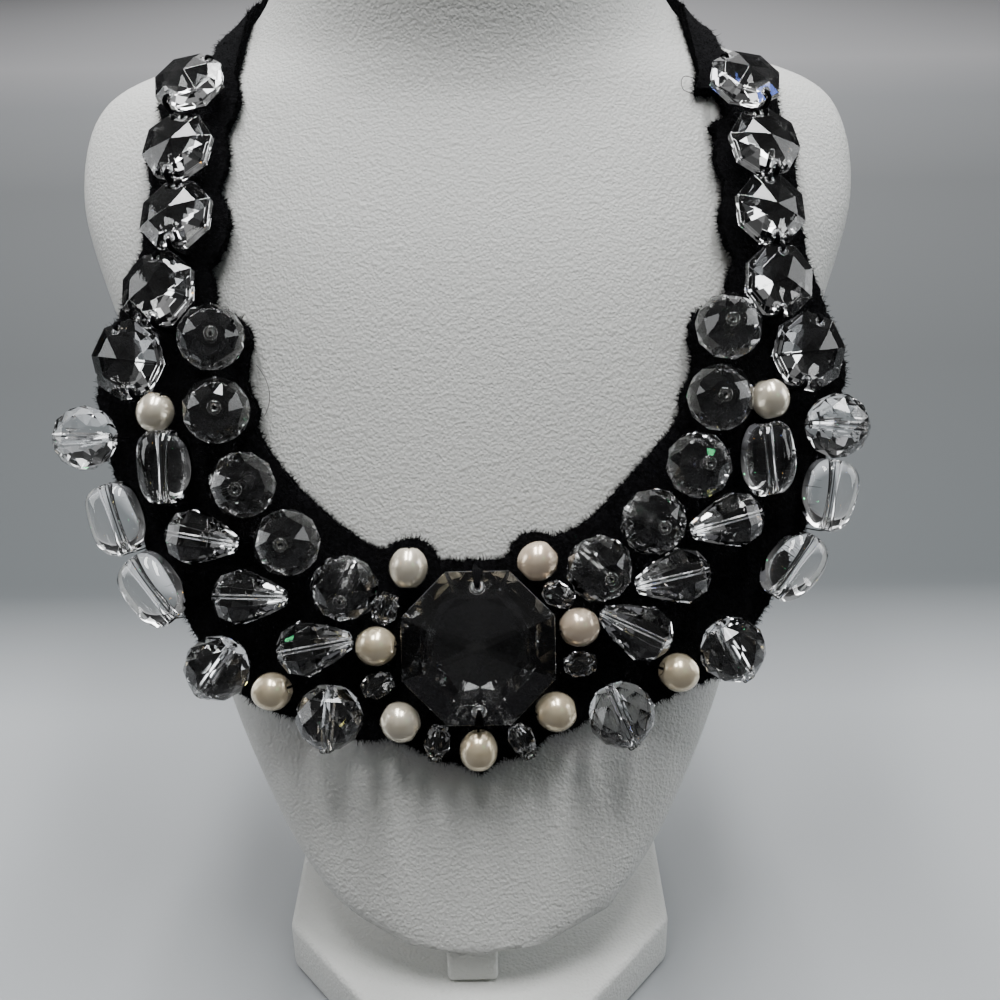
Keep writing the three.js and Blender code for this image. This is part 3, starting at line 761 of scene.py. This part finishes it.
def addThreads():
    dark = newThread("sewingThread", 0.26 * mm)
    fine = newThread("beadingThread", 0.12 * mm)
    for bore in pearlBores.values():
        runAcross(dark, bore)
    for bore in nuggets + drops:
        runAcross(fine, bore)
    for bore, _ in smallBores:
        runAcross(fine, bore)
    for (start, end), kind in balls:
        under, normal = velvetUnder(end)
        way = (start - end).normalized()
        middle, knot = start.lerp(end, 0.5), under - normal * 0.4 * mm
        if kind == "inner":
            runThread(dark, [start + way * 0.5 * mm, middle, end, knot])
        else:  # a loop round the seed bead
            beside = way.cross(normal).normalized() * 1.45 * mm
            runThread(fine, [
                end, start, start + way * 1.1 * mm, start + way * 1.2 * mm + beside, start + beside,
                start - way * 0.4 * mm, middle, end, end.lerp(under, 0.5), knot,
            ])
    for node in stoneNodes:
        low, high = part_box(node)
        middle = (low + high) / 2
        strands = 5 if node == "centre_stone" else 3
        rim = 1.5 if node == "centre_stone" else 1.1  # how far the brim's top is off the stone's middle
        for front, back in holePairs(node):
            out = (front - back).normalized()
            side = front - middle
            side -= out * side.dot(out)
            reach = side.length / 0.8
            side.normalize()
            beside = side.cross(out)
            for strand in range(strands):
                shift = beside * (strand - (strands - 1) / 2) * 0.38 * mm
                brim = middle + side * (reach + 0.2 * mm) + shift
                under, normal = velvetUnder(brim)
                runThread(dark, [
                    back, front - out * 0.3 * mm, front + side * 0.6 * mm + out * 0.3 * mm + shift * 0.5,
                    brim + out * rim * mm, brim - out * 0.9 * mm, under - normal * 0.5 * mm,
                ])
    for name, path in strays.items():
        stray = newThread(name, 0.07 * mm)
        points = []
        for across, height, lift in path:
            hit, normal, _, _ = bustTree.ray_cast(Vector((across, -200, height)) * mm, Vector((0, 1, 0)))
            points.append(hit + normal * lift * mm)
        runThread(stray, points)
        finishThread(stray, blackThread)
    finishThread(dark, blackThread)
    finishThread(fine, blackThread)


addThreads()
print("threads made")


# lights and floor

room = {
    "tubes": [(-0.2, 0.14, 1.15), (0.2, 0.14, 1.15)],
    "tubeSize": (0.14, 1.1),
    "tubePower": 14,
    "sidePower": 6,
    "sky": 0.18,
    "farPower": 26,
    "glints": [
        ((-0.9, -0.5, 1.0), (1, 0.45, 0.05)),
        ((0.7, -0.8, 0.9), (0.1, 1, 0.35)),
        ((-0.3, -1.0, 1.3), (1, 0.95, 0.3)),
        ((1.0, -0.3, 0.8), (0.2, 0.3, 1)),
    ],
    "glintSize": (0.05, 0.05),
    "glintPower": 0.12,
    "sideSize": (0.7, 0.7),
    "sideColour": (0.97, 0.99, 1),
    "farPlace": (0, 2.7, 1.5),
    "farSize": (1.2, 3.5),
    # the table's painted light and shade by how far back it is, from 0.1 m before the middle to 1.9 m behind it: a
    # painted shade band behind the bust, growing paler far back as painted light that makes up for the lamps'
    # light falling off with distance
    "tableDepth": (-0.1, 1.9),
    "tableTones": [
        (0.014, (0.05, 0.05, 0.055)), (0.022, (0.35, 0.365, 0.38)), (0.08, (0.33, 0.345, 0.36)),
        (0.118, (0.075, 0.084, 0.089)), (0.24, (0.084, 0.091, 0.095)), (0.48, (0.155, 0.162, 0.168)),
        (0.75, (0.34, 0.35, 0.365)), (1.0, (0.6, 0.6, 0.62)),
    ],
}


def addLight(name, place, aim, size, power, colour=(1, 1, 1)):
    data = bpy.data.lights.new(name, "AREA")
    data.shape = "RECTANGLE"
    data.size, data.size_y = size
    data.energy = power
    data.color = colour
    holder = bpy.data.objects.new(name, data)
    bpy.context.collection.objects.link(holder)
    way = Vector(aim) - Vector(place)
    holder.matrix_world = Matrix.Translation(place) @ way.to_track_quat("-Z", "Y").to_matrix().to_4x4()


def addRoom():
    for i, place in enumerate(room["tubes"]):
        addLight("ceilingTube%d" % i, place, (place[0], place[1] + 0.001, 0), room["tubeSize"], room["tubePower"])
    for name, across in (("leftWindow", -1.2), ("rightWindow", 1.2)):
        addLight(
            name, (across, 0.1, 0.5), (0, 0.05, 0.15), room["sideSize"], room["sidePower"], room["sideColour"],
        )
    addLight("farWindow", room["farPlace"], (0, 2.71, 0), room["farSize"], room["farPower"])
    for i, (place, colour) in enumerate(room["glints"]):
        addLight("glint%d" % i, place, (0, 0, 0.12), room["glintSize"], room["glintPower"], colour)
    world = bpy.data.worlds.new("room")
    bpy.context.scene.world = world
    world.use_nodes = True
    nodes, links = world.node_tree.nodes, world.node_tree.links
    background = nodes["Background"]
    places = nodes.new("ShaderNodeTexCoord")
    panes = nodes.new("ShaderNodeTexVoronoi")  # light and dark patches for the facets to mirror
    panes.inputs["Scale"].default_value = 1.7
    panes.inputs["Randomness"].default_value = 0.8
    links.new(places.outputs["Generated"], panes.inputs["Vector"])
    shade = nodes.new("ShaderNodeMapRange")
    links.new(panes.outputs["Color"], shade.inputs["Value"])
    shade.inputs["To Min"].default_value = 0.25
    shade.inputs["To Max"].default_value = 1.75
    mix = nodes.new("ShaderNodeVectorMath")
    mix.operation = "MULTIPLY"
    split = nodes.new("ShaderNodeSeparateXYZ")
    ramp = nodes.new("ShaderNodeValToRGB")
    links.new(places.outputs["Generated"], split.inputs["Vector"])
    spread = nodes.new("ShaderNodeMapRange")
    spread.inputs["From Min"].default_value = -1
    links.new(split.outputs["Z"], spread.inputs["Value"])
    links.new(spread.outputs["Result"], ramp.inputs["Fac"])
    stops = ramp.color_ramp.elements
    stops[0].position, stops[0].color = 0.3, (0.2, 0.2, 0.21, 1)
    stops[1].position, stops[1].color = 0.85, (1.0, 1.0, 1.0, 1)
    middleStop = stops.new(0.55)
    middleStop.color = (0.16, 0.165, 0.17, 1)
    links.new(ramp.outputs["Color"], mix.inputs[0])
    links.new(shade.outputs["Result"], mix.inputs[1])
    links.new(mix.outputs["Vector"], background.inputs["Color"])
    background.inputs["Strength"].default_value = room["sky"]


def addFloor():
    shape = bmesh.new()
    bmesh.ops.create_grid(shape, x_segments=1, y_segments=1, size=4)
    mesh = bpy.data.meshes.new("floor")
    shape.to_mesh(mesh)
    shape.free()
    floor = bpy.data.objects.new("floor", mesh)
    bpy.context.collection.objects.link(floor)
    material, links, shader = newMaterial("paleTable")
    places = objectPlaces(material)
    split = addNode(material, "ShaderNodeSeparateXYZ")
    links.new(places, split.inputs["Vector"])
    # painted light and shade: the table's colour follows its depth to stand in for how the lamps light it
    depth = rangeOf(material, split.outputs["Y"], *room["tableDepth"], 0, 1)
    tone = rampOf(material, depth, room["tableTones"])
    links.new(tone, shader.inputs["Base Color"])
    shader.inputs["Roughness"].default_value = 0.6
    mesh.materials.append(material)


addRoom()
addFloor()
print("room made")
